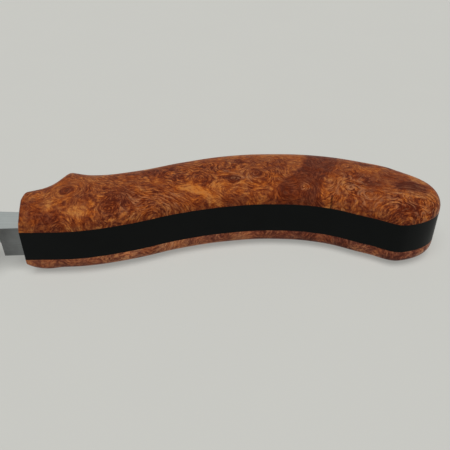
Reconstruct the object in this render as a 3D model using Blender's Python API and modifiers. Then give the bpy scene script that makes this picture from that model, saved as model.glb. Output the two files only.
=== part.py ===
# Drawknife: a straight blade with a swept grip at each end.
# Each grip is a black core slab between two domed wood scales, with the blade's tang let into the core.
# X runs along the blade, the cutting edge faces -Y, and the tool lies on its lower scales at z = 0.

import math

import bmesh
import bpy
import numpy as np
from mathutils import Vector
from mathutils.geometry import interpolate_bezier

mm = 0.001

# Grip
grip_length = 125 * mm
core_thickness = 10 * mm
scale_thickness = 6 * mm
glue_line = 0.3 * mm
butt_radius = 14 * mm
dome_reach = 0.64  # share of the half width that the dome rounds over

# Plan of the grip: share of its length, near edge and far edge across it
grip_stations = [
    (0.000, 0.0 * mm, 15.6 * mm),
    (0.043, 0.1 * mm, 19.2 * mm),
    (0.080, 0.2 * mm, 28.5 * mm),
    (0.140, 0.9 * mm, 26.7 * mm),
    (0.250, 4.5 * mm, 29.3 * mm),
    (0.360, 9.7 * mm, 34.6 * mm),
    (0.480, 13.4 * mm, 39.0 * mm),
    (0.600, 14.7 * mm, 40.3 * mm),
    (0.720, 12.7 * mm, 39.2 * mm),
    (0.825, 7.2 * mm, 35.4 * mm),
    (0.905, 3.8 * mm, 30.4 * mm),
]
beak_station = 2  # its far edge comes to a corner
butt_tip = 14.5 * mm

# Blade, measured across from the near edge of the grip's mouth
blade_span = 160 * mm  # steel between the two mouths
blade_width = 28 * mm
blade_thickness = 4.7 * mm
bevel_angle = math.radians(26)
edge_land = 0.12 * mm
spine_rise = 4 * mm  # spine beyond the neck
shoulder_length = 16.5 * mm  # along the blade, from its full width to the neck
neck_length = 7.5 * mm  # from the shoulder to the mouth
neck_width = 8.1 * mm
neck_setback = 2.3 * mm
neck_flare = 0.4 * mm  # each side, from the mouth to the shoulder
shank_stub = 6.8 * mm  # full thickness outside the mouth
step_radius = 0.6 * mm

# Tang
tang_length = 60 * mm
tang_tip_width = 6 * mm
tang_clearance = 0.3 * mm

# Hidden pins and dowels
pin_diameter = 4 * mm
pin_depth = 3.5 * mm  # into each scale
pin_clearance = 0.2 * mm
pin_gap = 0.3 * mm  # left at each end of a pin's hole
tang_pin_margin = 14 * mm  # from the tang's ends
dowel_from_tang = 13 * mm
dowel_from_butt = 19 * mm

# Fineness of the curves
outline_steps = 3
dome_steps = 6
shoulder_steps = 12
pin_sides = 20

# Heights
core_bottom = scale_thickness + glue_line
core_top = core_bottom + core_thickness
upper_base = core_top + glue_line
plate_bottom = core_top - blade_thickness

# Lines across the tool
neck_far = neck_setback + neck_width
spine_line = neck_far + spine_rise
edge_line = spine_line - blade_width
mouth_x = blade_span / 2
neck_x = mouth_x - neck_length
heel_x = neck_x - shoulder_length

margin = 5 * mm  # cutters run past the steel by this much


def clear_scene():
    for old in list(bpy.data.objects):
        bpy.data.objects.remove(old, do_unlink=True)


def new_collection(name):
    collection = bpy.data.collections.new(name)
    bpy.context.scene.collection.children.link(collection)
    return collection


def make_material(name, colour, roughness, metallic):
    material = bpy.data.materials.new(name)
    material.use_nodes = True
    shader = material.node_tree.nodes["Principled BSDF"]
    shader.inputs["Base Color"].default_value = (*colour, 1)
    shader.inputs["Roughness"].default_value = roughness
    shader.inputs["Metallic"].default_value = metallic
    return material


def burl_wood():
    return make_material("burl_wood", (0.22, 0.08, 0.035), 0.45, 0)


def black_anodised():
    return make_material("black_anodised", (0.01, 0.01, 0.01), 0.4, 0)


def ground_steel():
    return make_material("ground_steel", (0.45, 0.46, 0.47), 0.35, 1)


def pin_steel():
    return make_material("pin_steel", (0.5, 0.5, 0.5), 0.4, 1)


# Plan of the grip, from the near corner of the mouth round the butt to the far corner
def grip_outline():
    near = [(share * grip_length, near_edge) for share, near_edge, far_edge in grip_stations]
    far = [(share * grip_length, far_edge) for share, near_edge, far_edge in grip_stations]
    corners = near + [(grip_length, butt_tip)] + far[::-1]
    curve = bpy.data.curves.new("grip_plan", "CURVE")
    points = curve.splines.new("BEZIER").bezier_points
    points.add(len(corners) - 1)
    for point, corner in zip(points, corners):
        point.co = (*corner, 0)
    for point in points:
        point.handle_left_type = "AUTO"
        point.handle_right_type = "AUTO"
    beak = points[len(points) - 1 - beak_station]
    beak.handle_left_type = "VECTOR"
    beak.handle_right_type = "VECTOR"
    outline = [points[0].co.xy]
    for start, end in zip(points[:-1], points[1:]):
        span = interpolate_bezier(start.co, start.handle_right, end.handle_left, end.co, outline_steps + 1)
        outline += [sample.xy for sample in span[1:]]
    bpy.data.curves.remove(curve)
    return outline


# Point midway between the grip's two edges at a distance from the mouth
def grip_centre(outline, along):
    tip = max(range(len(outline)), key=lambda index: outline[index].x)
    near = np.array(outline[:tip + 1])
    far = np.array(outline[tip:])[::-1]
    near_edge = np.interp(along, near[:, 0], near[:, 1])
    far_edge = np.interp(along, far[:, 0], far[:, 1])
    return Vector((along, (near_edge + far_edge) / 2))


def add_object(name, mesh, collection, place):
    piece = bpy.data.objects.new(name, mesh)
    collection.objects.link(piece)
    piece.parent = frame
    piece.location = place
    return piece


# Flat outline raised between two heights
def slab(name, outline, bottom, top, collection, place):
    curve = bpy.data.curves.new(name, "CURVE")
    curve.dimensions = "2D"
    curve.fill_mode = "BOTH"
    curve.extrude = (top - bottom) / 2
    spline = curve.splines.new("POLY")
    spline.points.add(len(outline) - 1)
    spline.use_cyclic_u = True
    for point, (x, y) in zip(spline.points, outline):
        point.co = (x, y, 0, 1)
    drawn = bpy.data.objects.new(name, curve)
    bpy.context.scene.collection.objects.link(drawn)
    shape = drawn.evaluated_get(bpy.context.evaluated_depsgraph_get())
    mesh = bpy.data.meshes.new_from_object(shape)
    mesh.name = name
    bpy.data.objects.remove(drawn)
    bpy.data.curves.remove(curve)
    body = bmesh.new()
    body.from_mesh(mesh)
    bmesh.ops.remove_doubles(body, verts=body.verts, dist=0.000001)
    bmesh.ops.dissolve_limit(body, angle_limit=0.001, verts=body.verts, edges=body.edges)
    bmesh.ops.translate(body, verts=body.verts, vec=(0, 0, (top + bottom) / 2))
    bmesh.ops.recalc_face_normals(body, faces=body.faces)
    body.to_mesh(mesh)
    body.free()
    return add_object(name, mesh, collection, place)


def cylinder(name, diameter, bottom, top, collection, place):
    body = bmesh.new()
    bmesh.ops.create_cone(
        body,
        cap_ends=True,
        segments=pin_sides,
        radius1=diameter / 2,
        radius2=diameter / 2,
        depth=top - bottom,
    )
    mesh = bpy.data.meshes.new(name)
    body.to_mesh(mesh)
    body.free()
    mesh.shade_smooth()
    mesh.set_sharp_from_angle(angle=math.radians(40))
    return add_object(name, mesh, collection, (*place, (top + bottom) / 2))


def box(name, low, high, collection, place):
    body = bmesh.new()
    bmesh.ops.create_cube(body, size=1)
    bmesh.ops.scale(body, verts=body.verts, vec=Vector(high) - Vector(low))
    bmesh.ops.translate(body, verts=body.verts, vec=(Vector(high) + Vector(low)) / 2)
    mesh = bpy.data.meshes.new(name)
    body.to_mesh(mesh)
    body.free()
    return add_object(name, mesh, collection, place)


def cut(piece, cutter):
    cutter.hide_render = True
    cutter.display_type = "WIRE"
    boolean = piece.modifiers.new(cutter.name, "BOOLEAN")
    boolean.operation = "DIFFERENCE"
    boolean.solver = "EXACT"
    boolean.object = cutter


# Four corners of the tang in the grip's plan, near side first, grown by a clearance
def tang_corners(outline, clearance):
    root = Vector((0, neck_setback + neck_width / 2))
    tip = grip_centre(outline, tang_length)
    axis = (tip - root).normalized()
    across = Vector((-axis.y, axis.x))
    reach = across * (tang_tip_width / 2 + clearance)
    end = tip + axis * clearance
    near_root = Vector((0, neck_setback - clearance))
    far_root = Vector((0, neck_far + clearance))
    return [near_root, end - reach, end + reach, far_root]


# Centres of the two tang pins and the two core dowels in the grip's plan
def pin_places(outline):
    root = Vector((0, neck_setback + neck_width / 2))
    tip = grip_centre(outline, tang_length)
    axis = (tip - root).normalized()
    tang_pins = [root + axis * tang_pin_margin, tip - axis * tang_pin_margin]
    first_dowel = grip_centre(outline, tang_length + dowel_from_tang)
    last_dowel = grip_centre(outline, grip_length - dowel_from_butt)
    return tang_pins, [first_dowel, last_dowel]


# One side of a shoulder in plan: an ogee from a line of the blade to a line of the neck
def shoulder(blade_line, neck_line):
    points = []
    for step in range(shoulder_steps + 1):
        share = step / shoulder_steps
        blend = share * share * (3 - 2 * share)
        across = blade_line + (neck_line - blade_line) * blend
        points.append(Vector((heel_x + shoulder_length * share, across)))
    return points


# Blade: one forging with a bevelled plate, two necks and two tangs
def make_blade(outline):
    near_side = shoulder(edge_line, neck_setback - neck_flare)
    far_side = shoulder(spine_line, neck_far + neck_flare)
    tang = [Vector((mouth_x, 0)) + corner for corner in tang_corners(outline, 0)]
    right_half = near_side + tang + far_side[::-1]
    left_half = [Vector((-point.x, point.y)) for point in reversed(right_half)]
    blade = slab("blade", right_half + left_half, core_bottom, core_top, parts, (0, 0, 0))
    blade.data.materials.append(ground_steel())
    cut(blade, make_underside())
    cut(blade, make_bevel())
    return blade


# Space under the plate, with a rounded step up from each shank
def make_underside():
    reach = mouth_x - shank_stub
    low = (-reach, edge_line - margin, core_bottom - margin)
    high = (reach, spine_line + margin, plate_bottom)
    cutter = box("underside_cutter", low, high, cutters, (0, 0, 0))
    rounding = cutter.modifiers.new("step_rounding", "BEVEL")
    rounding.width = step_radius
    rounding.segments = 3
    return cutter


# Space above the bevel, tilted about the cutting edge
def make_bevel():
    reach = neck_x + margin
    depth = blade_thickness / math.sin(bevel_angle) + margin
    low = (-reach, -margin, 0)
    high = (reach, depth, depth)
    place = (0, edge_line, plate_bottom + edge_land)
    cutter = box("bevel_cutter", low, high, cutters, place)
    cutter.rotation_euler.x = bevel_angle
    return cutter


# Core slab with a slot for the tang, open at the mouth
def make_core(hand, side, outline, place):
    edge = [(side * point.x, point.y) for point in outline]
    core = slab(hand + "_core", edge, core_bottom, core_top, parts, place)
    core.data.materials.append(black_anodised())
    corners = tang_corners(outline, tang_clearance)
    ends = [Vector((-margin, corners[-1].y)), Vector((-margin, corners[0].y))]
    slot = [(side * corner.x, corner.y) for corner in corners + ends]
    name = hand + "_slot_cutter"
    cut(core, slab(name, slot, core_bottom - margin, core_top + margin, cutters, place))
    return core


# Wood scale: the plan at its base, rounded over to a flat crown, and flat across the mouth
def make_scale(name, side, outline, base, crown, place):
    body = bmesh.new()
    rings = []
    for step in range(dome_steps + 1):
        turn = math.radians(90) * step / dome_steps
        inward = dome_reach * (1 - math.cos(turn))
        height = base + (crown - base) * math.sin(turn)
        ring = []
        for point in outline:
            foot = grip_centre(outline, min(point.x, grip_length - butt_radius))
            x, y = point.lerp(foot, inward)
            ring.append(body.verts.new((side * x, y, height)))
        rings.append(ring)
    body.faces.new(rings[0])
    body.faces.new(rings[-1])
    for lower, upper in zip(rings[:-1], rings[1:]):
        for index in range(len(lower)):
            quad = [lower[index - 1], lower[index], upper[index], upper[index - 1]]
            body.faces.new(quad).smooth = index > 0
    bmesh.ops.recalc_face_normals(body, faces=body.faces)
    mesh = bpy.data.meshes.new(name)
    body.to_mesh(mesh)
    body.free()
    scale = add_object(name, mesh, parts, place)
    scale.data.materials.append(burl_wood())
    return scale


# Hidden pins: each goes through the tang or the core and stops inside both scales
def make_pins(hand, side, outline, blade, core, scales, place):
    bottom = core_bottom - glue_line - pin_depth
    top = core_top + glue_line + pin_depth
    tang_pins, dowels = pin_places(outline)
    for kind, holder, spots in (("tang_pin", blade, tang_pins), ("dowel", core, dowels)):
        for number, spot in enumerate(spots, 1):
            name = f"{hand}_{kind}_{number}"
            centre = (place[0] + side * spot.x, place[1] + spot.y)
            pin = cylinder(name, pin_diameter, bottom, top, parts, centre)
            pin.data.materials.append(pin_steel())
            width = pin_diameter + 2 * pin_clearance
            hole = cylinder(name + "_hole", width, bottom - pin_gap, top + pin_gap, cutters, centre)
            for piece in (holder, *scales):
                cut(piece, hole)


def make_grip(hand, side, outline, blade):
    place = (side * mouth_x, 0, 0)
    core = make_core(hand, side, outline, place)
    upper_crown = upper_base + scale_thickness
    upper = make_scale(hand + "_upper_scale", side, outline, upper_base, upper_crown, place)
    lower = make_scale(hand + "_lower_scale", side, outline, scale_thickness, 0, place)
    make_pins(hand, side, outline, blade, core, (upper, lower), place)


clear_scene()
parts = new_collection("drawknife")
cutters = new_collection("drawknife_cutters")
outline = grip_outline()

# The frame puts the origin under the middle of the whole tool
frame = bpy.data.objects.new("drawknife_frame", None)
parts.objects.link(frame)
far_most = max(point.y for point in outline)
frame.location.y = -(edge_line + far_most) / 2

blade = make_blade(outline)
make_grip("right", 1, outline, blade)
make_grip("left", -1, outline, blade)
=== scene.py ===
import math
import bmesh
import bpy
import numpy as np
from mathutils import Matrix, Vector


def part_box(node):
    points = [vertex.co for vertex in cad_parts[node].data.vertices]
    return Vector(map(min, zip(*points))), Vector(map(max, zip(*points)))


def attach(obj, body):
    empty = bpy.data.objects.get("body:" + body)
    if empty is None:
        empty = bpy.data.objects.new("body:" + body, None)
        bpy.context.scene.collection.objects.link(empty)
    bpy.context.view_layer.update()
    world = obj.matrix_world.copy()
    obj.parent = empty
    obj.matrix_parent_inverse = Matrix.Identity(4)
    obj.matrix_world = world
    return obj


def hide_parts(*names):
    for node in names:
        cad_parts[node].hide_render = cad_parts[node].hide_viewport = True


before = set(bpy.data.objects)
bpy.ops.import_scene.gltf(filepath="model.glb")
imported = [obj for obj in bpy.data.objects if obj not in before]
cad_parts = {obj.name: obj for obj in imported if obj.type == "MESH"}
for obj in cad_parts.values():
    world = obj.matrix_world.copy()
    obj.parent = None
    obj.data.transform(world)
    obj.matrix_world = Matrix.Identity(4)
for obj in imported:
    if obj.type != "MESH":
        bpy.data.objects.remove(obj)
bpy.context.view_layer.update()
mm = 0.001

# places that every piece takes from the frame
coreLow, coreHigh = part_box("right_core")
bladeLow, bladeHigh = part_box("blade")
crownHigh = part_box("right_upper_scale")[1][2]
mouthX = coreLow[0]  # where the steel goes into the grip
nearLine = coreLow[1]  # near edge of the grip at its mouth
gripLength = (coreHigh[0] - coreLow[0]) / mm
print("frame loaded:", len(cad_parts), "nodes, grip", round(gripLength, 1), "mm long")


# node helpers

def put(tree, kind, settings=None, inputs=None):
    node = tree.nodes.new("ShaderNode" + kind)
    for name, value in (settings or {}).items():
        setattr(node, name, value)
    for name, value in (inputs or {}).items():
        if isinstance(value, bpy.types.NodeSocket):
            tree.links.new(value, node.inputs[name])
        else:
            node.inputs[name].default_value = value
    return node


def maths(tree, operation, first, second=0.5, clamp=False):
    return put(tree, "Math", {"operation": operation, "use_clamp": clamp}, {0: first, 1: second}).outputs[0]


def span(tree, value, fromLow, fromHigh, toLow=0.0, toHigh=1.0):
    levels = {"Value": value, "From Min": fromLow, "From Max": fromHigh, "To Min": toLow, "To Max": toHigh}
    return put(tree, "MapRange", None, levels).outputs[0]


def blend(tree, mode, amount, under, over):
    colours = {0: amount, 6: under, 7: over}
    return put(tree, "Mix", {"data_type": "RGBA", "blend_type": mode}, colours).outputs[2]


def ramp(tree, value, stops):
    node = put(tree, "ValToRGB", None, {"Fac": value})
    band = node.color_ramp
    while len(band.elements) < len(stops):
        band.elements.new(0.5)
    for element, (place, colour) in zip(band.elements, stops):
        element.position = place
        element.color = paint(colour)
    return node.outputs["Color"]


def paint(colour):  # 0..255 as seen to the linear values that the shader takes, by the sRGB curve
    c = np.array(colour) / 255
    return (*np.where(c < 0.04045, c / 12.92, ((c + 0.055) / 1.055) ** 2.4), 1)


def newMaterial(name):
    material = bpy.data.materials.new(name)
    material.use_nodes = True
    tree = material.node_tree
    return material, tree, tree.nodes["Principled BSDF"]


def newGroup(name, inputs, outputs):
    group = bpy.data.node_groups.new(name, "ShaderNodeTree")
    for socket, kind, value in inputs:
        made = group.interface.new_socket(name=socket, in_out="INPUT", socket_type=kind)
        if value is not None:
            made.default_value = value
    for socket, kind in outputs:
        group.interface.new_socket(name=socket, in_out="OUTPUT", socket_type=kind)
    start = group.nodes.new("NodeGroupInput")
    end = group.nodes.new("NodeGroupOutput")
    return group, start.outputs, end.inputs


# mesh helpers

weld = dict(merge=2e-7, thin=1e-8)  # nearer points become one and thinner faces go, in metres


def gridFaces(rows, columns):  # quads of a rows x columns sheet of points
    index = np.arange(rows * columns).reshape(rows, columns)
    corners = [index[:-1, :-1], index[:-1, 1:], index[1:, 1:], index[1:, :-1]]
    return np.stack(corners, axis=-1).reshape(-1, 4)


def newPiece(name, points, faces, sharp):
    mesh = bpy.data.meshes.new(name)
    mesh.from_pydata(points.tolist(), [], faces)
    body = bmesh.new()
    body.from_mesh(mesh)
    bmesh.ops.remove_doubles(body, verts=body.verts, dist=weld["merge"])
    bmesh.ops.dissolve_degenerate(body, edges=body.edges, dist=weld["thin"])
    bmesh.ops.recalc_face_normals(body, faces=body.faces)
    body.to_mesh(mesh)
    body.free()
    mesh.shade_smooth()
    mesh.set_sharp_from_angle(angle=math.radians(sharp))
    piece = bpy.data.objects.new(name, mesh)
    bpy.context.scene.collection.objects.link(piece)
    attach(piece, "root")
    print("made", name, len(mesh.polygons), "faces")
    return piece


def pointsOf(piece):
    flat = np.empty(len(piece.data.vertices) * 3)
    piece.data.vertices.foreach_get("co", flat)
    return flat.reshape(-1, 3)


def setField(piece, name, values):
    field = piece.data.attributes.new(name, "FLOAT", "POINT")
    field.data.foreach_set("value", np.asarray(values, dtype=np.float32))


# grip: plan shared by its core and scales, in mm from the mouth's near corner

grip = dict(
    stations=[  # share of the length, near edge, far edge
        (0.000, 0.0, 15.6), (0.043, 0.1, 19.2), (0.080, 0.2, 28.5), (0.140, 0.9, 26.7),
        (0.250, 4.5, 29.3), (0.360, 9.7, 34.6), (0.480, 13.4, 39.0), (0.600, 14.7, 40.3),
        (0.720, 12.7, 39.2), (0.825, 7.2, 35.4), (0.905, 3.8, 30.4),
    ],
    beak=2,  # the station whose far edge is a corner
    beakRound=0.6,  # how far that corner is sanded away along the edge
    sanding=(-1.0, -0.5, 0.0, 0.5, 1.0),  # places whose mean rounds it, as shares of that
    buttTip=14.5,
    buttTrim=0.3,  # sanded off the butt
    buttRadius=14.0,
    handle=2.5614,  # chord of the outline over its handle
    domePower=dict(upper=(2.7, 2.7), lower=(2.75, 3.5)),  # section at the mouth and at the butt
    endPower=0.8,  # added on the near side of the mouth, where the section is squarer
    endReach=6.0,
    endFall=dict(upper=0.5, lower=7.0),  # length over which a scale rounds down to the mouth
    endFlat=dict(upper=0.88, lower=0.5),  # share of its height that stays upright there
    endLean=dict(upper=(0.85, -0.65), lower=(0.0, 0.0)),  # how far the sawn end leans back, near and far
    leanSpan=(1.0, 8.0),  # where across the grip those two hold
    curveSteps=40,
    easeCount=12,
    alongCount=400,
    buttCount=150,
    domeRows=64,
    endCount=25,
    sharp=40,  # degrees past which an edge stays crisp
    glueLine=0.02,  # left between wood and core
)


# curve through the knots: cubic arcs whose handles follow the mean of the two chords at each knot
def smoothCurve(knots):
    chord = np.diff(knots, axis=0)
    length = np.linalg.norm(chord, axis=1, keepdims=True)
    way = chord / length
    turn = np.vstack([way[:1], way[:-1] + way[1:], way[-1:]])
    turn /= np.linalg.norm(turn, axis=1, keepdims=True)
    leave = knots[:-1] + turn[:-1] * length / grip["handle"]
    arrive = knots[1:] - turn[1:] * length / grip["handle"]
    t = np.linspace(0, 1, grip["curveSteps"], endpoint=False)[None, :, None]
    k0, k1, k2, k3 = (k[:, None, :] for k in (knots[:-1], leave, arrive, knots[1:]))
    curve = (1 - t) ** 3 * k0 + 3 * (1 - t) ** 2 * t * k1 + 3 * (1 - t) * t ** 2 * k2 + t ** 3 * k3
    return np.vstack([curve.reshape(-1, 2), knots[-1:]])


# outline points, and for each one the point of the crown line that its section rises to:
# straight across the grip up to the butt, then all to the butt's centre
def gripPlan(fall):
    stations = np.array(grip["stations"])
    along = stations[:, 0] * gripLength
    near = np.column_stack([along, stations[:, 1]])
    far = np.column_stack([along, stations[:, 2]])
    beak = grip["beak"]
    buttPoint = [[gripLength - grip["buttTrim"], grip["buttTip"]]]
    body = smoothCurve(np.vstack([near, buttPoint, far[:beak - 1:-1]]))
    edge = np.vstack([body, smoothCurve(far[beak::-1])[1:]])
    tip = edge[:, 0].argmax()
    nearEdge, farEdge = edge[:tip + 1], edge[tip:][::-1]
    ease = fall * (1 - np.cos(np.linspace(0, np.pi / 2, grip["easeCount"])))
    rest = np.linspace(fall, gripLength - grip["buttRadius"], grip["alongCount"])[1:]
    u = np.unique(np.concatenate([ease, rest, [along[beak]]]))
    nearV = np.interp(u, *nearEdge.T)
    sanded = grip["beakRound"] * np.array(grip["sanding"])[:, None]
    farV = np.interp(u + sanded, *farEdge.T).mean(axis=0)
    nearSide, farSide = np.column_stack([u, nearV]), np.column_stack([u, farV])
    crown = np.column_stack([u, (nearV + farV) / 2])
    bend = np.vstack([nearSide[-1:], edge[edge[:, 0] > u[-1]], farSide[-1:]])
    step = np.concatenate([[0], np.cumsum(np.linalg.norm(np.diff(bend, axis=0), axis=1))])
    even = np.linspace(0, step[-1], grip["buttCount"])[1:-1]
    butt = np.column_stack([np.interp(even, step, bend[:, 0]), np.interp(even, step, bend[:, 1])])
    outline = np.vstack([nearSide, butt, farSide[::-1]])
    foot = np.vstack([crown, np.repeat(crown[-1:], len(butt), axis=0), crown[::-1]])
    return outline, foot


def gripPoints(side, plan, height):  # plan in mm and height in metres to places in the frame
    x = side * (mouthX + plan[..., 0] * mm)
    y = nearLine + plan[..., 1] * mm
    return np.stack([x, y, np.broadcast_to(height, x.shape)], axis=-1)


# wood scale: superellipse sections, cos(a)^(2/p) across and sin(a)^(2/p) up, on the outline;
# towards the mouth p grows, the height falls as a quarter of an ellipse and the end leans back;
# the sawn end is ruled from the near edge to the far one
def makeScale(hand, place, side, base, crown):
    fall = grip["endFall"][place]
    outline, foot = gripPlan(fall)
    angle = np.linspace(0, np.pi / 2, grip["domeRows"])[:, None]
    u, v = outline.T
    mouthPower, buttPower = grip["domePower"][place]
    power = mouthPower + (buttPower - mouthPower) * u / gripLength
    power = power + grip["endPower"] * np.exp(-u / grip["endReach"]) * (v < foot[:, 1])
    across = np.cos(angle) ** (2 / power)
    rise = np.sin(angle) ** (2 / power)
    toMouth = np.clip(1 - u / fall, 0, 1) * math.sqrt(1 - grip["endFlat"][place] ** 2)
    rise = rise * np.sqrt(1 - toMouth ** 2)
    plan = foot + (outline - foot) * across[..., None]
    lean = np.interp(plan[..., 1], grip["leanSpan"], grip["endLean"][place])
    plan[..., 0] += lean * rise * np.clip(1 - u / grip["endReach"], 0, 1)
    height = base + (crown - base) * rise
    dome = gripPoints(side, plan, height)
    rows, columns = dome.shape[:2]
    share = np.linspace(0, 1, grip["endCount"])[:, None]
    sawn = dome[:, :1] * (1 - share) + dome[:, -1:] * share
    sawnFirst = rows * columns
    faces = gridFaces(rows, columns).tolist()
    faces += (gridFaces(rows, grip["endCount"]) + sawnFirst).tolist()
    sawnFoot = sawnFirst + np.arange(1, grip["endCount"] - 1)
    faces.append(np.concatenate([sawnFoot, np.arange(columns)[::-1]]).tolist())  # glued face
    node = f"{hand}_{place}_scale"
    points = np.vstack([dome.reshape(-1, 3), sawn.reshape(-1, 3)])
    piece = newPiece(node + "_wood", points, faces, grip["sharp"])
    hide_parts(node)
    return piece


# burl figure: fields worked out at each point of a scale, in mm of the grip

lattice = dict(count=512, offset=500)  # random numbers before they repeat, and cells before the first point


# value noise: random numbers on a lattice of the given size, eased between with 6t^5 - 15t^4 + 10t^3
def cloud(p, size, seed):
    chance = np.random.default_rng(seed)
    table = chance.random(lattice["count"]) * 2 - 1
    order = np.tile(chance.permutation(lattice["count"]), 2)
    g = p / size + lattice["offset"]
    cell = np.floor(g).astype(int)
    f = g - cell
    f = f ** 3 * (f * (f * 6 - 15) + 10)
    total = np.zeros(len(p))
    for corner in np.ndindex(2, 2, 2):
        c = (cell + corner) % lattice["count"]
        weight = np.prod(np.where(corner, f, 1 - f), axis=1)
        total += weight * table[order[order[order[c[:, 0]] + c[:, 1]] + c[:, 2]]]
    return total


def clouds(p, size, seed, octaves=3):
    return sum(cloud(p, size / 2 ** n, seed + n) / 2 ** n for n in range(octaves))


def cloudy(p, shape, seed, octaves=3):  # clouds of a size about a middle, with a spread
    size, middle, spread = shape
    return middle + spread * clouds(p, size, seed, octaves)


def drift(p, size, amount, seed):  # each point pushed aside by three clouds
    return p + amount * np.column_stack([cloud(p, size, seed + k) for k in range(3)])


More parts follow.
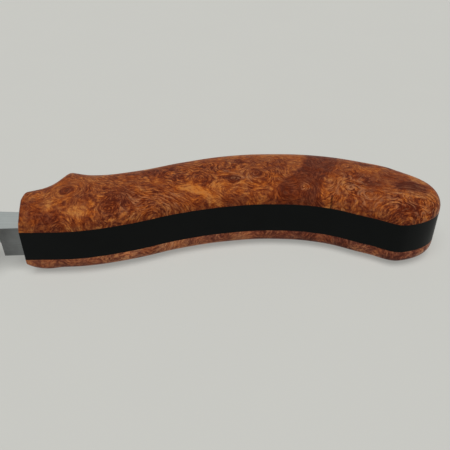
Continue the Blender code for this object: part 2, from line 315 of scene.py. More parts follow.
figure = dict(
    grain=(0.10, 0.22, 0.25),  # growth gained for each mm along, across and down
    longBend=(11.0, 2.6),  # size and push of the drifts that bend the grain
    shortBend=(3.6, 1.0),
    longFray=(8.0, 0.8),  # size and push of the drifts that fray the borders of patches
    shortFray=(2.2, 0.5),
    waves=(14.0, 0.0, 1.6),  # size, middle and spread of the clouds in the growth
    shades=(7.0, 0.50, 0.14),  # the same in the tone
    crowding=(10.0, 0.35, 0.45),  # the same in how busy the wood is
    rubbingAndLift=(6.0, 0.85, 0.3),  # the same in how far the lower scales are paled: partly wear, partly painted light on their underlit side
    spots=dict(  # small knots strewn about by chance
        count=70, low=(0, 0, -2), high=(125, 42, 8), radius=(0.9, 2.8), slope=1.3, tone=0.14, fall=3,
    ),
    knots=[  # along, across, reach of the year rings round it, growth for each mm out from it
        (11.5, 13.0, 12.0, 1.1), (39.0, 4.5, 9.0, 1.3), (69.0, 23.5, 4.0, 1.6), (61.5, 20.5, 3.0, 1.8),
        (51.8, 20.0, 3.0, 1.6), (97.3, 27.3, 4.0, 1.5), (97.0, 15.5, 4.0, 1.7), (102.5, 12.0, 3.5, 1.6),
        (118.5, 9.5, 6.0, 1.8), (113.0, 8.0, 3.0, 1.8), (28.0, 10.5, 3.5, 1.7), (25.0, 5.5, 2.5, 1.7),
        (54.0, 28.0, 3.0, 1.5), (46.0, 25.0, 4.0, 1.2), (36.5, 24.0, 4.0, 1.2), (62.5, 31.0, 2.6, 1.6),
        (84.0, 17.5, 3.0, 1.5), (104.5, 19.5, 4.0, 1.2), (73.5, 31.0, 4.0, 1.2),
    ],
    knotWidth=0.8,  # across, as a share of the reach
    ringed=[  # along, across, ring spacing, reach, tone of the rings
        (11.5, 13.1, 1.85, 4.2, 0.22), (69.0, 23.4, 2.0, 4.0, 0.16), (97.3, 27.4, 1.9, 3.0, 0.14),
        (61.5, 20.5, 1.7, 2.6, 0.14), (118.5, 9.5, 1.3, 5.5, 0.14), (97.0, 15.5, 1.5, 4.0, 0.14),
    ],
    flows=[  # along, across, half length, half width, way the growth climbs in degrees, slope
        (62.0, 14.0, 7.0, 2.4, 97, 1.4), (104.0, 15.0, 7.0, 5.0, 100, 0.8), (112.0, 5.0, 7.0, 2.4, 90, 1.5),
        (75.0, 21.0, 6.0, 5.0, 0, 1.1), (86.0, 18.0, 6.0, 5.0, 4, 1.1), (89.0, 30.0, 6.0, 8.0, 5, 0.9),
    ],
    zones=[  # along, across, half length, half width, turn in degrees, tone
        (16.8, 4.2, 3.4, 2.0, 0, 0.38), (7.8, 5.2, 1.6, 1.5, 0, 0.23), (47.0, 15.0, 2.6, 1.6, 0, 0.50),
        (48.6, 17.4, 1.2, 1.9, 0, 0.22), (51.5, 14.6, 3.6, 1.7, -8, 0.58), (56.5, 13.6, 2.6, 1.0, 8, 0.26),
        (58.0, 17.0, 3.4, 1.6, 10, 0.27), (91.3, 17.0, 1.3, 2.6, 0, -0.06),
        (93.0, 20.0, 2.2, 1.6, 0, 0.02), (84.3, 17.2, 0.9, 1.2, 0, 0.40), (75.5, 21.5, 4.5, 2.8, 10, 0.0),
        (79.0, 30.0, 5.0, 4.0, 0, 0.14), (81.0, 26.5, 2.0, 3.4, -35, 0.18),
        (102.0, 24.5, 6.0, 1.6, -8, 0.14), (43.0, 13.5, 3.5, 3.0, 0, 0.10),
        (38.0, 17.5, 6.0, 1.2, 0, 0.17), (12.0, 8.3, 4.0, 1.0, 0, 0.10), (97.3, 27.3, 2.8, 2.2, 0, -0.14),
        (120.5, 11.5, 2.6, 2.2, 20, 0.12), (118.0, 20.0, 3.0, 3.0, 0, 0.14),
        (98.0, 13.8, 2.6, 1.6, 20, -0.10), (95.5, 18.5, 0.8, 3.0, 10, 0.16),
        (63.5, 19.0, 2.0, 1.0, 0, 0.20), (28.3, 23.0, 0.7, 4.0, 15, 0.18), (35.0, 13.0, 3.0, 2.0, 0, 0.38),
        (20.0, 18.0, 3.0, 3.0, 0, 0.08), (11.5, 13.1, 1.9, 1.9, 0, -0.42), (18.0, 9.6, 2.4, 1.1, 0, -0.20),
        (28.2, 11.2, 4.8, 3.4, 25, -0.36), (25.8, 5.8, 3.6, 2.8, 20, -0.30),
        (31.0, 7.2, 2.6, 1.8, 20, -0.10), (36.0, 23.5, 6.0, 3.0, 12, -0.30),
        (24.0, 25.0, 2.2, 2.2, 0, -0.22), (46.5, 25.5, 3.4, 3.6, 0, 0.14),
        (50.4, 20.6, 1.2, 2.4, 10, -0.28), (53.6, 19.4, 1.3, 2.6, -10, -0.28),
        (53.0, 28.0, 3.2, 2.2, 0, 0.04), (61.5, 20.5, 1.9, 1.7, 0, -0.72),
        (59.6, 23.6, 1.0, 1.4, 0, -0.26), (63.0, 30.8, 2.8, 1.8, 0, -0.40),
        (58.8, 31.2, 1.0, 0.8, 0, -0.28), (69.0, 23.4, 1.9, 2.3, 10, -0.34),
        (68.2, 29.0, 1.6, 2.0, 0, -0.18), (73.0, 25.2, 1.6, 0.7, 20, -0.24),
        (62.0, 14.3, 4.5, 0.9, 8, -0.22), (103.0, 29.0, 3.0, 1.6, -15, -0.52),
        (112.5, 26.2, 3.2, 1.6, -25, -0.22), (115.0, 15.2, 4.4, 2.8, 8, -0.76),
        (120.6, 8.0, 1.0, 0.9, 0, -0.30), (102.3, 13.2, 2.6, 0.7, -5, -0.34),
        (80.0, 17.0, 3.2, 1.6, 0, -0.10), (101.5, 20.0, 2.6, 0.9, -10, -0.26),
        (104.0, 16.5, 4.0, 2.0, 0, -0.44), (112.0, 5.8, 4.5, 1.8, 5, -0.34),
        (4.5, 15.0, 2.4, 2.0, 20, -0.14), (2.5, 9.0, 4.0, 7.0, 0, -0.08), (12.0, 2.0, 8.0, 1.4, 0, -0.10),
        # painted light: the five long zones from here to the one at 118.5 along hug the far edge and lighten
        # the far flank, as lit from above and behind
        (30.0, 27.5, 13.0, 4.0, 16, 0.12), (58.0, 35.5, 16.0, 5.0, 10, 0.16),
        (76.0, 35.0, 9.0, 4.0, 0, 0.14), (106.0, 28.5, 10.0, 4.5, -24, 0.12),
        (118.5, 21.5, 4.5, 2.6, -50, 0.10), (66.5, 18.8, 2.4, 1.6, 0, 0.10),
        (70.5, 17.0, 2.8, 1.6, 0, 0.11),
    ],
    underZones=[  # the same, added on the lower scales
        (27.0, 3.6, 4.0, 4.0, 0, 0.28), (44.0, 9.3, 5.0, 4.0, 0, 0.33), (64.0, 14.0, 3.2, 4.0, 0, 0.35),
        (70.5, 14.6, 2.4, 4.0, 0, -0.27), (78.0, 14.6, 4.5, 4.0, 0, 0.16), (95.0, 11.5, 5.0, 4.0, 0, -0.32),
        (111.0, 4.5, 7.0, 4.0, 0, -0.26),
    ],
    heart=dict(  # a stripe of dark heartwood that runs across
        across=(14.0, 17.0, 21.0, 25.0, 31.0, 41.0), near=(73.0, 75.0, 80.0, 83.0, 85.2, 86.0),
        far=(88.5, 89.0, 89.5, 93.5, 95.0, 96.0), border=0.30, tone=-0.32,
        calm=0.5, calmFrom=18, calmOver=6,  # how plain it is, and where across that sets in
    ),
    crowds=[  # along, across, radius of a crowd of pin knots
        (27.0, 9.0, 6.5), (60.5, 22.5, 4.0), (75.5, 22.0, 3.5), (84.3, 17.2, 1.5), (52.0, 27.0, 4.0),
        (113.0, 8.0, 6.0), (119.0, 10.0, 5.0), (38.0, 11.0, 4.0), (98.0, 15.0, 4.0), (62.0, 30.0, 4.0),
    ],
    calms=[  # along, across, radius of plain wood
        (11.5, 13.0, 5.0), (50.0, 15.0, 4.5), (81.0, 29.0, 5.0), (17.0, 4.5, 3.0), (38.0, 17.5, 3.5),
        (106.0, 22.0, 5.5), (89.0, 28.0, 7.0), (68.0, 33.0, 4.0), (4.0, 3.0, 5.0), (79.0, 17.5, 4.0),
    ],
    laces=[  # along, across, radius of a patch with pale lines
        (98.0, 16.0, 6.0), (119.0, 9.0, 6.0), (62.5, 23.0, 4.0), (84.3, 17.2, 1.6),
        (112.0, 9.5, 4.2), (34.0, 10.0, 4.0), (42.5, 11.0, 3.0), (67.0, 21.0, 2.5), (103.0, 12.0, 4.0),
        # the last two laces on the next line, on the far side of the butt, are partly painted sheen: their
        # pale lines also paint the paleness of a glancing sheen there
        (31.0, 7.2, 2.6), (11.4, 13.1, 1.4), (118.0, 20.0, 3.5), (112.5, 26.0, 3.5),
    ],
    zoneEdge=2.2,  # the higher, the sharper an oval's border
    patchEdge=1.5,  # the same for crowds, calms and laces
    patchGain=0.7,  # how far a crowd or a calm moves the busyness
    plainLace=0.15,  # pale lines outside the laces
    toneKnee=0.82,  # above this tone, bright patches level off
    crack=dict(along=91.2, low=11.6, high=14.0, width=0.22, taper=(0.4, 0.8), wave=(0.12, 2)),  # from drying
)


def oval(p, along, across, length, width, turn=0):  # 0 at its middle, 1 on its border
    a = math.radians(turn)
    d = p[:, :2] - (along, across)
    return (d @ (math.cos(a), math.sin(a)) / length) ** 2 + (d @ (-math.sin(a), math.cos(a)) / width) ** 2


def patchAt(p, along, across, radius):  # 1 at its middle, falling to 0 past its border
    return np.exp(-oval(p, along, across, radius, radius) ** figure["patchEdge"])


# growth: a slope with a cone at each knot, s r (1 - exp(-d / r)) at d from it, whose level lines are year
# rings; tone: ragged ovals, a few of which are painted light on the far flank, and clouds; busy: from plain
# wood at 0 to a crowd of pin knots at 1; lace: where pale lines show; check: the drying crack; and last, how
# far the wood is paled, partly as wear and partly as painted light on the lower scales' underlit side
def burlFields(p, seed, zones):
    chance = np.random.default_rng(seed)
    q = drift(drift(p, *figure["longBend"], seed + 10), *figure["shortBend"], seed + 20)
    growth = q @ np.array(figure["grain"]) + cloudy(p, figure["waves"], seed + 30)
    tone = cloudy(q, figure["shades"], seed + 40, 4)
    busy = cloudy(q, figure["crowding"], seed + 50, 2)
    eased = drift(p, *figure["longFray"], seed + 60)
    ragged = drift(eased, *figure["shortFray"], seed + 70)
    spots = figure["spots"]
    middles = chance.uniform(spots["low"], spots["high"], (spots["count"], 3))
    for middle, radius in zip(middles, chance.uniform(*spots["radius"], spots["count"])):
        away = np.linalg.norm(ragged - middle, axis=1) / radius
        growth += spots["slope"] * radius * (1 - np.exp(-away))
        tone -= spots["tone"] * np.exp(-spots["fall"] * away ** 2)
    for along, across, reach, slope in figure["knots"]:
        away = np.sqrt(oval(ragged, along, across, reach, figure["knotWidth"] * reach))
        growth += slope * reach * (1 - np.exp(-away))
    for along, across, spacing, reach, gain in figure["ringed"]:
        away = np.sqrt(oval(eased, along, across, 1, 1))
        tone -= gain * np.cos(away * math.tau / spacing) * np.exp(-(away / reach) ** 2)
    for along, across, length, width, climb, slope in figure["flows"]:
        way = math.cos(math.radians(climb)), math.sin(math.radians(climb))
        climbed = (p[:, :2] - (along, across)) @ way
        growth += slope * climbed * np.exp(-oval(p, along, across, length, width))
    for along, across, length, width, turn, gain in zones:
        tone += gain * np.exp(-oval(ragged, along, across, length, width, turn) ** figure["zoneEdge"])
    heart = figure["heart"]
    sides = [np.interp(ragged[:, 1], heart["across"], heart[side]) for side in ("near", "far")]
    inside = np.minimum(ragged[:, 0] - sides[0], sides[1] - ragged[:, 0]) / heart["border"]
    within = 1 / (1 + np.exp(-2 * inside))
    tone += heart["tone"] * within
    busy -= heart["calm"] * within * np.clip((p[:, 1] - heart["calmFrom"]) / heart["calmOver"], 0, 1)
    for crowd in figure["crowds"]:
        busy += figure["patchGain"] * patchAt(ragged, *crowd)
    for calm in figure["calms"]:
        busy -= figure["patchGain"] * patchAt(ragged, *calm)
    lace = np.full(len(p), figure["plainLace"])
    for patch in figure["laces"]:
        lace += patchAt(ragged, *patch)
    knee = figure["toneKnee"]
    tone = np.where(tone > knee, knee + (1 - knee) * np.tanh((tone - knee) / (1 - knee)), tone)
    scuffAndLift = np.clip(cloudy(q, figure["rubbingAndLift"], seed + 80), 0, 1)
    busy, lace = np.clip(busy, 0, 1), np.clip(lace, 0, 1)
    return dict(growth=growth, tone=tone, busy=busy, lace=lace, check=dryingCrack(p), scuffAndLift=scuffAndLift)


def dryingCrack(p):  # 1 along a wavy line across the grip that thins out at both ends
    crack = figure["crack"]
    start, end = crack["taper"]
    sway, pitch = crack["wave"]
    inside = np.clip((p[:, 1] - crack["low"]) / start, 0, 1) * np.clip((crack["high"] - p[:, 1]) / end, 0, 1)
    aside = p[:, 0] - crack["along"] - sway * np.sin(p[:, 1] * pitch)
    return inside * np.exp(-(aside / crack["width"]) ** 2)


# the lower scale is the next leaf of the same block, so its main figure mirrors the upper one's, but for a
# few zones of its own; it is painted paler, partly as wear from benches and partly as painted light on its
# underlit side
def paintScale(piece, seed, place, cracked):
    base = coreHigh[2] if place == "upper" else coreLow[2]
    world = pointsOf(piece)
    p = np.column_stack([abs(world[:, 0]) - mouthX, world[:, 1] - nearLine, abs(world[:, 2] - base)]) / mm
    zones = figure["zones"] + (figure["underZones"] if place == "lower" else [])
    fields = burlFields(p, seed, zones)
    if place == "upper":
        fields["scuffAndLift"] *= 0
    if not cracked:
        fields["check"] *= 0
    for name, values in fields.items():
        setField(piece, name, values)


# effects that several finishes share

effects = dict(
    slow={"Detail": 5.0, "Roughness": 0.6},  # noise of the patches
    quick={"Scale": 4000.0, "Detail": 2.0},  # noise of the fine relief between them
    drawn={"Scale": 1.0, "Detail": 4.0, "Roughness": 0.7},  # noise of the hairlines, before it is drawn out
    drawnRange=(0.3, 0.7),  # its levels that become 0 and 1
)


def mottleGroup():  # slow and quick patchiness
    group, start, end = newGroup(
        "mottle",
        [
            ("Vector", "NodeSocketVector", None),
            ("Size", "NodeSocketFloat", 8.0),
            ("Contrast", "NodeSocketFloat", 1.0),
        ],
        [("Value", "NodeSocketFloat"), ("Height", "NodeSocketFloat")],
    )
    scale = maths(group, "DIVIDE", 1 / mm, start["Size"])
    slow = put(group, "TexNoise", None, {"Vector": start["Vector"], "Scale": scale, **effects["slow"]})
    centred = maths(group, "SUBTRACT", slow.outputs["Fac"], 0.5)
    spread = maths(group, "MULTIPLY", centred, start["Contrast"])
    group.links.new(maths(group, "ADD", spread, 0.5, True), end["Value"])
    quick = put(group, "TexNoise", None, {"Vector": start["Vector"], **effects["quick"]})
    group.links.new(quick.outputs["Fac"], end["Height"])
    return group


def hairlineGroup():  # fine straight lines, long along one axis of the stretch
    group, start, end = newGroup(
        "hairlines",
        [
            ("Vector", "NodeSocketVector", None),
            ("Stretch", "NodeSocketVector", None),
            ("Depth", "NodeSocketFloat", 1.0),
        ],
        [("Line", "NodeSocketFloat"), ("Height", "NodeSocketFloat")],
    )
    both = {0: start["Vector"], 1: start["Stretch"]}
    stretched = put(group, "VectorMath", {"operation": "MULTIPLY"}, both).outputs[0]
    coarse = put(group, "TexNoise", None, {"Vector": stretched, **effects["drawn"]})
    line = span(group, coarse.outputs["Fac"], *effects["drawnRange"])
    group.links.new(line, end["Line"])
    group.links.new(maths(group, "MULTIPLY", line, start["Depth"]), end["Height"])
    return group


mottle = mottleGroup()
hairlines = hairlineGroup()


def objectPlace(tree):
    return put(tree, "TexCoord").outputs["Object"]


def fieldOf(tree, name):
    return put(tree, "Attribute", {"attribute_name": name}).outputs["Fac"]


def addBump(tree, shader, height, depth):  # depth: in mm, and how strongly it shows
    distance, strength = depth
    bump = put(tree, "Bump", None, {"Height": height, "Distance": distance * mm, "Strength": strength})
    tree.links.new(bump.outputs["Normal"], shader.inputs["Normal"])


def patchesOf(tree, place, shape):  # shape: size in mm and contrast
    size, contrast = shape
    inputs = {"Vector": place, "Size": size, "Contrast": contrast}
    return put(tree, "Group", {"node_tree": mottle}, inputs).outputs


def hairlinesOf(tree, place, stretch, depth=1.0):
    inputs = {"Vector": place, "Stretch": stretch, "Depth": depth}
    return put(tree, "Group", {"node_tree": hairlines}, inputs).outputs


# finishes

burl = dict(
    tones=[
        (0.00, (73, 29, 15)), (0.18, (91, 40, 22)), (0.36, (106, 50, 26)), (0.50, (120, 60, 29)),
        (0.64, (135, 71, 33)), (0.80, (152, 86, 39)), (1.00, (176, 109, 50)),
    ],
    bands=(5.0, 0.7, 0.3, 0.7),  # noise along the growth: life in mm, pitch, levels that become 0 and 1
    lines=(2.9, 2.3, 0.38, 0.62),
    fibres=(1.4, 4.6, 0.36, 0.64),
    noise={"Scale": 1.0, "Detail": 2.0, "Roughness": 0.6},
    flecks={"Scale": 2600.0, "Detail": 2.0},
    bandGain=0.18,  # how strongly each pattern moves the tone
    lineGain=(0.12, 0.46),  # in plain wood and in a crowd
    fibreGain=(0.54, 0.78),
    fleckGain=(0.66, 0.98),
    streak=(166, 118, 84),  # pale lines where there is lace
    streakGain=0.36,
    streakRange=(0.62, 0.95),
    pinScale=720.0,  # pin knots for each metre
    pinRange=(0.14, 0.34),  # from a pin's middle to its border
    pinCrowd=(0.4, 0.9),  # how busy the wood is where pins begin and where they are darkest
    pinGain=0.42,
    blush=((1.05, 0.92, 0.72), (0.97, 1.06, 1.30)),  # from redder patches to greyer ones
    blushPatch=(3.0, 5.0),
    crack=(34, 14, 8),
    relief=(0.6, 0.3),  # height of the lines and of the fine relief
    bump=(0.02, 0.4),
    roughness=(0.45, 0.6),
    scuffedAndLit=(0.9, 1.28),  # saturation and value where the lower scales are paled: wear, and painted light on their underlit side
    specular=0.05,
    sheen=0.18,  # how pale the oil film turns at a glancing look
    sheenRoughness=0.28,
)


# noise drawn out along the growth's level lines: each line lives for a few mm, then another takes over
def growthNoise(tree, place, growth, pattern):
    life, pitch, low, high = pattern
    steady = put(tree, "VectorMath", {"operation": "SCALE"}, {0: place, 3: 1 / (life * mm)}).outputs[0]
    level = maths(tree, "MULTIPLY", growth, pitch)
    noise = put(tree, "TexNoise", {"noise_dimensions": "4D"}, {"Vector": steady, "W": level, **burl["noise"]})
    return span(tree, noise.outputs["Fac"], low, high)


def weighed(tree, base, value, gain):  # base moved up or down by a value about one half
    return maths(tree, "ADD", base, maths(tree, "MULTIPLY", maths(tree, "SUBTRACT", value, 0.5), gain))


def oiledBurl():
    material, tree, shader = newMaterial("oiledBurl")
    place = objectPlace(tree)
    growth, tone = fieldOf(tree, "growth"), fieldOf(tree, "tone")
    busy, lace, check = (fieldOf(tree, name) for name in ("busy", "lace", "check"))
    patterns = "bands", "lines", "fibres"
    bands, lines, fibres = (growthNoise(tree, place, growth, burl[name]) for name in patterns)
    flecks = put(tree, "TexNoise", None, {"Vector": place, **burl["flecks"]}).outputs["Fac"]
    cells = put(tree, "TexVoronoi", {"feature": "F1"}, {"Vector": place, "Scale": burl["pinScale"]})
    pins = span(tree, cells.outputs["Distance"], *burl["pinRange"], 1.0, 0.0)
    pins = maths(tree, "MULTIPLY", pins, span(tree, busy, *burl["pinCrowd"]))
    total = weighed(tree, tone, bands, burl["bandGain"])
    for pattern, gain in ((lines, "lineGain"), (fibres, "fibreGain"), (flecks, "fleckGain")):
        total = weighed(tree, total, pattern, span(tree, busy, 0.0, 1.0, *burl[gain]))
    total = maths(tree, "SUBTRACT", total, maths(tree, "MULTIPLY", pins, burl["pinGain"]), True)
    colour = ramp(tree, total, burl["tones"])
    worn = patchesOf(tree, place, burl["blushPatch"])
    red, grey = ((*tint, 1) for tint in burl["blush"])
    colour = blend(tree, "MULTIPLY", 1.0, colour, blend(tree, "MIX", worn["Value"], red, grey))
    streaks = maths(tree, "MULTIPLY", span(tree, lines, *burl["streakRange"]), lace)
    streaks = maths(tree, "MULTIPLY", streaks, burl["streakGain"])
    colour = blend(tree, "MIX", streaks, colour, paint(burl["streak"]))
    # painted light: the lower scales are paled here, partly as wear and partly to lift their underlit side
    saturation, value = burl["scuffedAndLit"]
    rubbedAndLit = {"Saturation": saturation, "Value": value, "Color": colour}
    pale = put(tree, "HueSaturation", None, rubbedAndLit).outputs["Color"]
    colour = blend(tree, "MIX", fieldOf(tree, "scuffAndLift"), colour, pale)
    colour = blend(tree, "MIX", check, colour, paint(burl["crack"]))
    tree.links.new(colour, shader.inputs["Base Color"])
    low, high = burl["roughness"]
    tree.links.new(span(tree, lines, 0.0, 1.0, high, low), shader.inputs["Roughness"])
    shader.inputs["Specular IOR Level"].default_value = burl["specular"]
    shader.inputs["Sheen Weight"].default_value = burl["sheen"]
    shader.inputs["Sheen Roughness"].default_value = burl["sheenRoughness"]
    lineHeight, fineHeight = burl["relief"]
    fine = maths(tree, "MULTIPLY", worn["Height"], fineHeight)
    addBump(tree, shader, maths(tree, "ADD", maths(tree, "MULTIPLY", lines, lineHeight), fine), burl["bump"])
    return material


anodised = dict(
    colour=(7, 9, 9),
    worn=(13, 15, 15),
    patch=(6.0, 1.4),
    stretch=(120.0, 120.0, 9000.0),  # hairlines round the edge
    lineDepth=0.4,
    lineTint=(0.5, 1.0),
    roughness=(0.36, 0.48),
    roughPatch=(0.2, 0.8),
    specular=0.08,
    bump=(0.01, 0.4),
)


def satinBlack():
    material, tree, shader = newMaterial("satinBlack")
    place = objectPlace(tree)
    patch = patchesOf(tree, place, anodised["patch"])
    lines = hairlinesOf(tree, place, anodised["stretch"], anodised["lineDepth"])
    tint = maths(tree, "MULTIPLY", patch["Value"], span(tree, lines["Line"], 0, 1, *anodised["lineTint"]))
    colour = blend(tree, "MIX", tint, paint(anodised["colour"]), paint(anodised["worn"]))
    tree.links.new(colour, shader.inputs["Base Color"])
    rough = span(tree, patch["Value"], *anodised["roughPatch"], *anodised["roughness"])
    tree.links.new(rough, shader.inputs["Roughness"])
    shader.inputs["Specular IOR Level"].default_value = anodised["specular"]
    addBump(tree, shader, maths(tree, "ADD", lines["Height"], patch["Height"]), anodised["bump"])
    return material


steel = dict(
    flat=(198, 203, 205),
    dull=(172, 178, 179),
    scale=(97, 97, 97),  # dark skin from the forge; on the upright walls it also stands in for painted shade
    honed=(216, 219, 221),
    lengthwise=(60.0, 5200.0, 5200.0),  # hairlines of the plate and of the bevel
    crosswise=(4200.0, 90.0, 90.0),
    patch=(9.0, 1.5),
    lineShare=0.6,  # of the hairlines in the brightness, and of the patches
    patchShare=0.4,
    skinPatch=(0.15, 0.6),
    skinLevel=(0.75, 1.0),
    roughness=(0.42, 0.30),
    skinRough=0.16,  # added by the skin and taken away by honing
    honedRough=0.18,
    bump=(0.006, 0.6),
)


def groundSteel():
    material, tree, shader = newMaterial("groundSteel")
    place = objectPlace(tree)
    bevelled, honed, skinAndShade = (fieldOf(tree, name) for name in ("bevelled", "honed", "skinAndShade"))
    along = hairlinesOf(tree, place, steel["lengthwise"])["Line"]
    across = hairlinesOf(tree, place, steel["crosswise"])["Line"]
    line = put(tree, "Mix", {"data_type": "FLOAT"}, {0: bevelled, 2: along, 3: across}).outputs[0]
    patch = patchesOf(tree, place, steel["patch"])
    patchy = maths(tree, "MULTIPLY", patch["Value"], steel["patchShare"])
    bright = maths(tree, "ADD", maths(tree, "MULTIPLY", line, steel["lineShare"]), patchy)
    ground = blend(tree, "MIX", bright, paint(steel["dull"]), paint(steel["flat"]))
    # the dark skin on upright walls: partly forge skin, partly painted shade, darkest by the step
    skin = span(tree, patch["Value"], *steel["skinPatch"], *steel["skinLevel"])
    skin = maths(tree, "MULTIPLY", skinAndShade, skin, True)
    colour = blend(tree, "MIX", skin, ground, paint(steel["scale"]))
    colour = blend(tree, "MIX", honed, colour, paint(steel["honed"]))
    tree.links.new(colour, shader.inputs["Base Color"])
    shader.inputs["Metallic"].default_value = 1.0
    rough = span(tree, line, 0.0, 1.0, *steel["roughness"])
    rough = maths(tree, "ADD", rough, maths(tree, "MULTIPLY", skin, steel["skinRough"]))
    rough = maths(tree, "SUBTRACT", rough, maths(tree, "MULTIPLY", honed, steel["honedRough"]), True)
    tree.links.new(rough, shader.inputs["Roughness"])
    relief = maths(tree, "ADD", line, maths(tree, "MULTIPLY", patch["Height"], skin))
    addBump(tree, shader, relief, steel["bump"])
    return material


pinSteel = dict(
    dull=(150, 150, 148),
    bright=(186, 186, 184),
    stretch=(300.0, 300.0, 6000.0),
    patch=(2.0, 1.2),
    roughness=(0.45, 0.28),
    bump=(0.008, 0.5),
)


def turnedPin():
    material, tree, shader = newMaterial("turnedPin")
    place = objectPlace(tree)
    lines = hairlinesOf(tree, place, pinSteel["stretch"])
    patch = patchesOf(tree, place, pinSteel["patch"])
    colour = blend(tree, "MIX", patch["Value"], paint(pinSteel["dull"]), paint(pinSteel["bright"]))
    tree.links.new(colour, shader.inputs["Base Color"])
    shader.inputs["Metallic"].default_value = 1.0
    tree.links.new(span(tree, lines["Line"], 0, 1, *pinSteel["roughness"]), shader.inputs["Roughness"])
    addBump(tree, shader, lines["Height"], pinSteel["bump"])
    return material


# core: the outline with the tang's slot let in, carried straight up

core = dict(
    neckNear=2.3,  # the steel's near and far line at the mouth
    neckFar=10.4,
    tangLength=60.0,
    tangTip=6.0,  # width of the tang's end
    slotWall=0.3,  # left between tang and slot
    rows=5,
    sharp=35,
)


def tangSides(clearance):  # near and far corner at the mouth and at the tip, in mm of the grip
    foot = gripPlan(grip["endFall"]["upper"])[1]
    half = len(foot) // 2
    root = np.array([0.0, (core["neckNear"] + core["neckFar"]) / 2])
    tip = np.array([core["tangLength"], np.interp(core["tangLength"], *foot[:half].T)])
    way = (tip - root) / np.linalg.norm(tip - root)
    reach = np.array([-way[1], way[0]]) * (core["tangTip"] / 2 + clearance)
    end = tip + way * clearance
    nearRoot, farRoot = [0, core["neckNear"] - clearance], [0, core["neckFar"] + clearance]
    return np.array([nearRoot, end - reach, end + reach, farRoot])


def makeCore(hand, side):
    outline = gripPlan(grip["endFall"]["upper"])[0]
    loop = np.vstack([outline, tangSides(core["slotWall"])[::-1]])
    height = np.linspace(coreLow[2], coreHigh[2], core["rows"])[:, None]
    points = gripPoints(side, np.repeat(loop[None], core["rows"], axis=0), height)
    closed = np.concatenate([points, points[:, :1]], axis=1)
    rows, columns = closed.shape[:2]
    faces = gridFaces(rows, columns).tolist()
    faces.append(np.arange(columns - 1)[::-1].tolist())
    faces.append((np.arange(columns - 1) + (rows - 1) * columns).tolist())
    piece = newPiece(hand + "_core_black", closed.reshape(-1, 3), faces, core["sharp"])
    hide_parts(hand + "_core")
    return piece


# blade: one section carried along X; its near and far lines, underside and bevel change on the way

forging = dict(
    thickness=4.7,
    bevel=26.0,  # degrees
    land=0.05,  # thickness left at the edge
    honed=0.7,  # width of the honed strip
    honedMost=0.4,  # share of a narrow bevel that it may take
    least=1e-3,  # width of a bevel where it ends
    ease=0.12,  # how far the long edges are rounded
    lowEase=0.3,  # most of a wall's height that the rounding may take
    neck=7.5,
    shoulder=16.5,
    flare=0.4,  # how much wider the neck is at its shoulder
    rise=4.0,  # of the spine over the neck
    stub=6.8,  # shank of full thickness outside the mouth
    stepRound=0.6,
    stepRun=(0.1, 0.15),  # where the step drops, past the shank's end
    hair=1e-6,  # stations are rounded: this close to the step is on it
    crispShare=0.02,  # a row this close to the bevel's top keeps its border crisp
    honedBorder=1.06,  # the same beside the honed strip, in widths of it
    plateCount=60,
    neckCount=30,
    stepCount=7,
    easeCount=4,
    sheetCount=9,
    bevelCount=8,
    wallStep=3,  # a wall needs one row of a sheet in three
    sharp=20,
    touch=0.02,  # nearer than this is on the bevel
    upright=0.8,  # walls: how level a normal may be
    shoulderSkin=0.5,  # how dark the forge left the shoulders
    shankShadeFade=0.26,  # painted shade: how much lighter the shank's dark skin is painted at the mouth than by the step
)


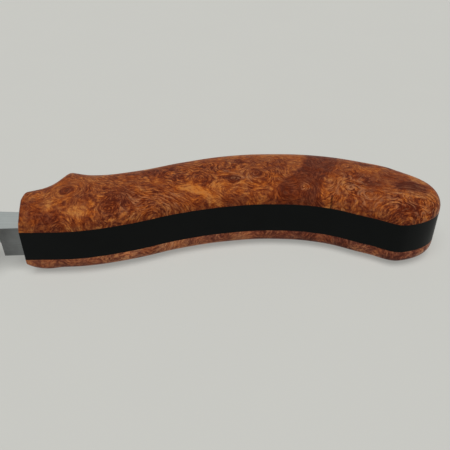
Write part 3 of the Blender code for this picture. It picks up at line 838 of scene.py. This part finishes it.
def makeBlade():
    f = forging
    mouth = mouthX / mm
    neck, heel = mouth - f["neck"], mouth - f["neck"] - f["shoulder"]
    edgeLine = (bladeLow[1] - nearLine) / mm
    spineLine = core["neckFar"] + f["rise"]
    tang = tangSides(0)
    stepX = mouth - f["stub"]
    tipX = mouth + tang[1:3, 0].mean()
    stepRound = f["stepRound"]
    stepLow, stepHigh = f["stepRun"]
    half = np.unique(np.concatenate([
        np.linspace(0, heel, f["plateCount"]), np.linspace(heel, neck, f["plateCount"]),
        np.linspace(neck, mouth, f["neckCount"]), np.linspace(mouth, tipX, f["neckCount"]),
        stepX - stepRound * (1 - np.sin(np.linspace(0, np.pi / 2, f["stepCount"]))), [stepX + stepHigh],
    ]).round(4))
    x = np.concatenate([-half[:0:-1], half])
    a = abs(x)
    s = np.clip((a - heel) / f["shoulder"], 0, 1)
    s = s * s * (3 - 2 * s)  # ogee of the shoulders
    flare = f["flare"] * np.clip((mouth - a) / f["neck"], 0, 1)
    nearNeck = np.interp(a, [mouth, mouth + tang[1, 0]], tang[:2, 1]) - flare
    farNeck = np.interp(a, [mouth, mouth + tang[2, 0]], [tang[3, 1], tang[2, 1]]) + flare
    near = edgeLine + (nearNeck - edgeLine) * s
    far = spineLine + (farNeck - spineLine) * s
    top = np.full_like(x, bladeHigh[2] / mm)
    thin = top - f["thickness"]
    intoStep = np.clip(a - stepX + stepRound, 0, stepRound)
    fillet = stepRound - np.sqrt(np.clip(stepRound ** 2 - intoStep ** 2, 0, None))
    drop = np.where(a > stepX - f["hair"], stepRound, fillet)
    under = np.where(a > stepX + stepLow, coreLow[2] / mm, thin - drop)
    slope = math.tan(math.radians(f["bevel"]))
    ease = f["ease"]
    bevelTop = np.maximum(edgeLine + (f["thickness"] - f["land"]) / slope, near + ease)
    nearTop = np.minimum(thin + f["land"] + (near - edgeLine) * slope, top - ease)
    low = np.minimum(ease, f["lowEase"] * (nearTop - under))
    arc = np.linspace(0, np.pi / 2, f["easeCount"])[:, None]
    sheet = np.linspace(0, 1, f["sheetCount"])[1:-1, None]
    stack = sheet[::f["wallStep"]]
    hone = np.clip(f["honed"] / np.maximum(bevelTop - near, f["least"]), 0, f["honedMost"])
    nearBottom = near + low * (1 - np.cos(arc)), under + low * (1 - np.sin(arc))
    bottom = near + low + (far - ease - near - low) * sheet, under + 0 * sheet
    farBottom = far - ease * (1 - np.sin(arc)), under + ease * (1 - np.cos(arc))
    farTop = far - ease * (1 - np.cos(arc)), top - ease * (1 - np.sin(arc))
    plate = far - ease + (bevelTop - far + ease) * sheet, top + 0 * sheet
    ground = np.concatenate([[0.0, f["crispShare"]], np.linspace(0, 1, f["bevelCount"])[1:]])[:, None]
    ground = ground * (1 - hone * f["honedBorder"])
    way = np.concatenate([ground, 1 - hone[None], np.ones((1, len(x)))])
    bevel = bevelTop + (near - bevelTop) * way, top + (nearTop - top) * way
    wall = near + 0 * stack, nearTop + (under + low - nearTop) * stack
    parts = [nearBottom, bottom, farBottom, farTop, plate, bevel, wall]
    v = np.vstack([part[0] for part in parts])
    z = np.vstack([part[1] for part in parts])
    points = np.stack([np.broadcast_to(x * mm, v.shape), nearLine + v * mm, z * mm], axis=-1)
    closed = np.concatenate([points, points[:1]])
    rows, columns = closed.shape[:2]
    faces = gridFaces(rows, columns).tolist()
    ring = np.arange(rows - 1) * columns
    faces += [ring.tolist(), (ring + columns - 1)[::-1].tolist()]
    return newPiece("blade_steel", closed.reshape(-1, 3), faces, f["sharp"])


def paintBlade(piece):
    p = pointsOf(piece) / mm
    f = forging
    edgeLine, top = bladeLow[1] / mm, bladeHigh[2] / mm
    slope = math.tan(math.radians(f["bevel"]))
    onPlane = abs(top - f["thickness"] + f["land"] + (p[:, 1] - edgeLine) * slope - p[:, 2]) < f["touch"]
    bevelled = onPlane & (p[:, 2] < top - f["touch"] / 2)
    honed = bevelled & (p[:, 1] < edgeLine + f["honed"] + f["touch"])
    normal = np.empty(len(p) * 3)
    piece.data.vertices.foreach_get("normal", normal)
    upright = (abs(normal.reshape(-1, 3)[:, 2]) < f["upright"]) & ~bevelled
    # upright walls get the dark skin: forge skin, with painted shade in how it falls off from the step to the
    # mouth
    fromStep = (abs(p[:, 0]) - mouthX / mm + f["stub"]) / f["stub"]
    skinAndShade = upright * np.where(fromStep < 0, f["shoulderSkin"], 1 - f["shankShadeFade"] * np.clip(fromStep, 0, 1))
    setField(piece, "bevelled", bevelled)
    setField(piece, "honed", honed)
    setField(piece, "skinAndShade", skinAndShade)


# build

burlFinish = oiledBurl()
blackFinish = satinBlack()
steelFinish = groundSteel()
pinFinish = turnedPin()
print("made the finishes for wood, core, steel and pins")
glue = grip["glueLine"] * mm
for hand, side, seed in (("right", 1, 11), ("left", -1, 47)):
    upper = makeScale(hand, "upper", side, coreHigh[2] + glue, crownHigh)
    lower = makeScale(hand, "lower", side, coreLow[2] - glue, 0.0)
    paintScale(upper, seed, "upper", hand == "right")
    paintScale(lower, seed + 200, "lower", False)
    upper.data.materials.append(burlFinish)
    lower.data.materials.append(burlFinish)
    makeCore(hand, side).data.materials.append(blackFinish)
bladePiece = makeBlade()
paintBlade(bladePiece)
bladePiece.data.materials.append(steelFinish)
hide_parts("blade")
for name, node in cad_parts.items():
    if "pin" in name or "dowel" in name:
        node.data.materials.clear()
        node.data.materials.append(pinFinish)

# floor, light and camera

stage = dict(
    floorSize=6.0,
    floor=(200, 200, 195),
    floorSpread=3,  # how far its patches are darker and paler
    floorPatch=(40.0, 0.3),
    floorRough=0.9,
    floorGloss=0.1,
    floorBump=(0.05, 0.3),
    sky=(0.99, 1.0, 0.95),
    ambient=0.16,  # what the sky gives to matt surfaces
    fill=0.5,  # share of the floor that shows in its own colour, as under light from all sides
    backdrop=(0.58, 0.74),  # what the camera and gloss see of it, at the horizon and overhead
    horizon=0.1,  # height over the level, as a sine, up to which the first of the two holds
    key=dict(offset=(-0.1, -0.75, 2.0), width=45.0, strength=2.86),
)


def seenRays(tree):  # 1 for rays of the camera, of gloss and of glass
    path = put(tree, "LightPath").outputs
    seen = maths(tree, "MAXIMUM", path["Is Camera Ray"], path["Is Glossy Ray"])
    return maths(tree, "MAXIMUM", seen, path["Is Transmission Ray"])


def paleFloor():
    s = stage["floorSize"] / 2
    mesh = bpy.data.meshes.new("floor")
    mesh.from_pydata([(-s, -s, 0), (s, -s, 0), (s, s, 0), (-s, s, 0)], [], [(0, 1, 2, 3)])
    floor = bpy.data.objects.new("floor", mesh)
    bpy.context.scene.collection.objects.link(floor)
    material, tree, shader = newMaterial("paleFloor")
    place = objectPlace(tree)
    patch = patchesOf(tree, place, stage["floorPatch"])
    dark, pale = (paint(np.array(stage["floor"]) + step * stage["floorSpread"]) for step in (-1, 1))
    colour = blend(tree, "MIX", patch["Value"], dark, pale)
    tree.links.new(colour, shader.inputs["Base Color"])
    shader.inputs["Roughness"].default_value = stage["floorRough"]
    shader.inputs["Specular IOR Level"].default_value = stage["floorGloss"]
    addBump(tree, shader, patch["Height"], stage["floorBump"])
    glow = put(tree, "Emission", None, {"Color": colour}).outputs[0]
    share = maths(tree, "MULTIPLY", seenRays(tree), stage["fill"])
    both = put(tree, "MixShader", None, {0: share, 1: shader.outputs[0], 2: glow}).outputs[0]
    tree.links.new(both, tree.nodes["Material Output"].inputs["Surface"])
    mesh.materials.append(material)


def softLight():
    world = bpy.data.worlds.new("studio")
    bpy.context.scene.world = world
    world.use_nodes = True
    tree = world.node_tree
    sky = tree.nodes["Background"]
    sky.inputs["Color"].default_value = (*stage["sky"], 1)
    height = put(tree, "SeparateXYZ", None, {0: put(tree, "TexCoord").outputs["Generated"]}).outputs["Z"]
    shown = span(tree, height, stage["horizon"], 1.0, *stage["backdrop"])
    levels = {0: seenRays(tree), 2: stage["ambient"], 3: shown}
    strength = put(tree, "Mix", {"data_type": "FLOAT"}, levels).outputs[0]
    tree.links.new(strength, sky.inputs["Strength"])
    key = stage["key"]
    lamp = bpy.data.lights.new("softKey", "SUN")
    lamp.energy = key["strength"]
    lamp.angle = math.radians(key["width"])
    softKey = bpy.data.objects.new("softKey", lamp)
    bpy.context.scene.collection.objects.link(softKey)
    softKey.location = key["offset"]
    softKey.rotation_euler = Vector(key["offset"]).to_track_quat("Z", "Y").to_euler()
    softKey.visible_glossy = False  # gloss shows the sky alone


shot = dict(
    elevation=36.0,
    distance=168.3,  # to the point looked at, which is on the core's top
    along=59.08,  # that point, from the mouth's near corner
    across=3.90,
    focal=577 / 450,  # as a share of the picture's width
    sensor=36,
    clip=5,
)


def photoCamera():
    aim = np.array([mouthX + shot["along"] * mm, nearLine + shot["across"] * mm, coreHigh[2]])
    e = math.radians(shot["elevation"])
    place = aim + shot["distance"] * mm * np.array([0, -math.cos(e), math.sin(e)])
    data = bpy.data.cameras.new("camera")
    data.sensor_width = shot["sensor"]
    data.lens = shot["focal"] * shot["sensor"]
    data.clip_start = shot["clip"] * mm
    camera = bpy.data.objects.new("camera", data)
    bpy.context.scene.collection.objects.link(camera)
    camera.location = place
    camera.rotation_euler = (math.radians(90) - e, 0, 0)
    bpy.context.scene.camera = camera


paleFloor()
softLight()
photoCamera()
print("placed the floor, the light and the camera")
bpy.context.scene.view_settings.view_transform = "Standard"
